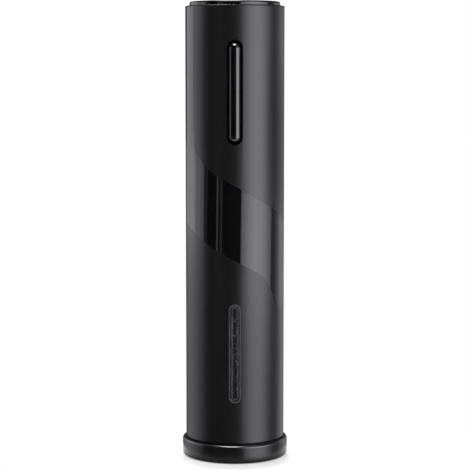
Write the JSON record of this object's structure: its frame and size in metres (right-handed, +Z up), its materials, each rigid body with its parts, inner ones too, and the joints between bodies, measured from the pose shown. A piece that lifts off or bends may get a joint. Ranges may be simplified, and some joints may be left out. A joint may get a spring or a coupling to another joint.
{
  "type": "electric wine opener",
  "caption": "Slim battery wine opener: round body with gloss band, rocker button, window on the worm, and a foil cutter that serves as its stand.",
  "frame": {"origin": "centre of the foot pad's underside, on the table", "axes": "+Z up along the body, -Y is the front with the button and the window, +X to the right seen from the front"},
  "size_m": [0.054, 0.054, 0.2324],
  "materials": {
    "gloss_black": "piano gloss",
    "matte_black": "fine satin texture",
    "clear_window": "clear polished plastic",
    "inner_plastic": "moulded black plastic",
    "gear_plastic": "natural acetal",
    "steel": "machined steel",
    "motor_shell": "zinc plated",
    "magnet": "ferrite",
    "bronze": "sintered bronze",
    "board": "solder mask",
    "switch": "moulded",
    "contact": "nickel plated",
    "cell": "plain wrapped cell",
    "lead": "wire insulation",
    "foot": "foam rubber"
  },
  "bodies": {
    "housing": {"body_tube": "gloss_black", "matte_wrap": "matte_black", "window_lens": "clear_window", "button_bezel": "inner_plastic", "button_pin": "steel", "circuit_board": "board", "tact_switches": "switch", "board_screws": "steel", "battery_holder": "inner_plastic", "battery_cells": "cell", "battery_contacts": "contact", "motor_can": "motor_shell", "motor_magnets": "magnet", "motor_end_cap": "inner_plastic", "motor_terminals": "contact", "motor_leads": "lead", "motor_mount": "inner_plastic", "motor_screws": "steel", "gear_housing": "gear_plastic", "gearbox_cover": "inner_plastic", "output_bush": "bronze", "chassis_screws": "steel", "cork_guide": "inner_plastic", "bottle_collar": "inner_plastic", "collar_screws": "steel"},
    "worm_drive": {"output_carrier": "steel", "worm_hub": "steel", "worm": "steel", "hub_screw": "steel"},
    "first_stage": {"first_carrier": "gear_plastic"},
    "rotor": {"motor_shaft": "steel", "armature": "steel", "sun_gear": "bronze"},
    "button": {"rocker_button": "gloss_black"},
    "cap": {"battery_cap": "gloss_black", "cap_contacts": "contact"},
    "foil_cutter": {"cutter_shell": "matte_black", "cutter_base": "inner_plastic", "cutter_screws": "steel", "foot_pad": "foot", "jaw_spring_left": "steel", "jaw_spring_right": "steel"},
    "left_jaw": {"jaw_left": "inner_plastic", "wheel_pins_left": "steel"},
    "right_jaw": {"jaw_right": "inner_plastic", "wheel_pins_right": "steel"},
    "first_planet_1": {"planet_a1": "gear_plastic"},
    "output_planet_1": {"planet_b1": "gear_plastic"},
    "first_planet_2": {"planet_a2": "gear_plastic"},
    "output_planet_2": {"planet_b2": "gear_plastic"},
    "first_planet_3": {"planet_a3": "gear_plastic"},
    "output_planet_3": {"planet_b3": "gear_plastic"},
    "wheel_1": {"cutting_wheel_1": "steel"},
    "wheel_2": {"cutting_wheel_2": "steel"},
    "wheel_3": {"cutting_wheel_3": "steel"},
    "wheel_4": {"cutting_wheel_4": "steel"}
  },
  "joints": [
    {"name": "worm_spin", "type": "hinge", "parent": "housing", "child": "worm_drive", "pos_m": [0, 0, 0.0845], "axis": [0, 0, 1], "continuous": true},
    {"name": "first_carrier_spin", "type": "hinge", "parent": "housing", "child": "first_stage", "pos_m": [0, 0, 0.1022], "axis": [0, 0, 1], "continuous": true},
    {"name": "rotor_spin", "type": "hinge", "parent": "housing", "child": "rotor", "pos_m": [0, 0, 0.1542], "axis": [0, 0, 1], "continuous": true},
    {"name": "output_planet_1_spin", "type": "hinge", "parent": "worm_drive", "child": "output_planet_1", "pos_m": [0.0108, 0, 0.0946], "axis": [0, 0, 1], "continuous": true},
    {"name": "first_planet_1_spin", "type": "hinge", "parent": "first_stage", "child": "first_planet_1", "pos_m": [0.0108, 0, 0.1045], "axis": [0, 0, 1], "continuous": true},
    {"name": "output_planet_2_spin", "type": "hinge", "parent": "worm_drive", "child": "output_planet_2", "pos_m": [-0.0054, 0.00935, 0.0946], "axis": [0, 0, 1], "continuous": true},
    {"name": "first_planet_2_spin", "type": "hinge", "parent": "first_stage", "child": "first_planet_2", "pos_m": [-0.0054, 0.00935, 0.1045], "axis": [0, 0, 1], "continuous": true},
    {"name": "output_planet_3_spin", "type": "hinge", "parent": "worm_drive", "child": "output_planet_3", "pos_m": [-0.0054, -0.00935, 0.0946], "axis": [0, 0, 1], "continuous": true},
    {"name": "first_planet_3_spin", "type": "hinge", "parent": "first_stage", "child": "first_planet_3", "pos_m": [-0.0054, -0.00935, 0.1045], "axis": [0, 0, 1], "continuous": true},
    {"name": "button_rock", "type": "hinge", "parent": "housing", "child": "button", "pos_m": [0, -0.0209, 0.18695], "axis": [1, 0, 0], "range_deg": [-1.5, 1.5], "stiffness_Nm_per_rad": 0.3},
    {"name": "cap_lift", "type": "slide", "parent": "housing", "child": "cap", "axis": [0, 0, 1], "range_m": [0, 0.03]},
    {"name": "opener_lift", "type": "slide", "parent": "foil_cutter", "child": "housing", "axis": [0, 0, 1], "range_m": [0, 0.12]},
    {"name": "left_jaw_open", "type": "slide", "parent": "foil_cutter", "child": "left_jaw", "axis": [-1, 0, 0], "range_m": [0, 0.002], "stiffness_N_per_m": 600, "deforming": ["jaw_spring_left"]},
    {"name": "right_jaw_open", "type": "slide", "parent": "foil_cutter", "child": "right_jaw", "axis": [1, 0, 0], "range_m": [0, 0.002], "stiffness_N_per_m": 600, "deforming": ["jaw_spring_right"]},
    {"name": "wheel_1_spin", "type": "hinge", "parent": "left_jaw", "child": "wheel_1", "pos_m": [-0.01375, -0.00893, 0.00455], "axis": [0, 0, 1], "continuous": true},
    {"name": "wheel_2_spin", "type": "hinge", "parent": "left_jaw", "child": "wheel_2", "pos_m": [-0.01375, 0.00893, 0.00455], "axis": [0, 0, 1], "continuous": true},
    {"name": "wheel_3_spin", "type": "hinge", "parent": "right_jaw", "child": "wheel_3", "pos_m": [0.01375, -0.00893, 0.00455], "axis": [0, 0, 1], "continuous": true},
    {"name": "wheel_4_spin", "type": "hinge", "parent": "right_jaw", "child": "wheel_4", "pos_m": [0.01375, 0.00893, 0.00455], "axis": [0, 0, 1], "continuous": true}
  ],
  "couplings": [
    {"joint": "first_carrier_spin", "follows": "worm_spin", "ratio": 6},
    {"joint": "rotor_spin", "follows": "worm_spin", "ratio": 36},
    {"joint": "output_planet_1_spin", "follows": "worm_spin", "ratio": -2.5},
    {"joint": "first_planet_1_spin", "follows": "worm_spin", "ratio": -15},
    {"joint": "output_planet_2_spin", "follows": "worm_spin", "ratio": -2.5},
    {"joint": "first_planet_2_spin", "follows": "worm_spin", "ratio": -15},
    {"joint": "output_planet_3_spin", "follows": "worm_spin", "ratio": -2.5},
    {"joint": "first_planet_3_spin", "follows": "worm_spin", "ratio": -15}
  ]
}
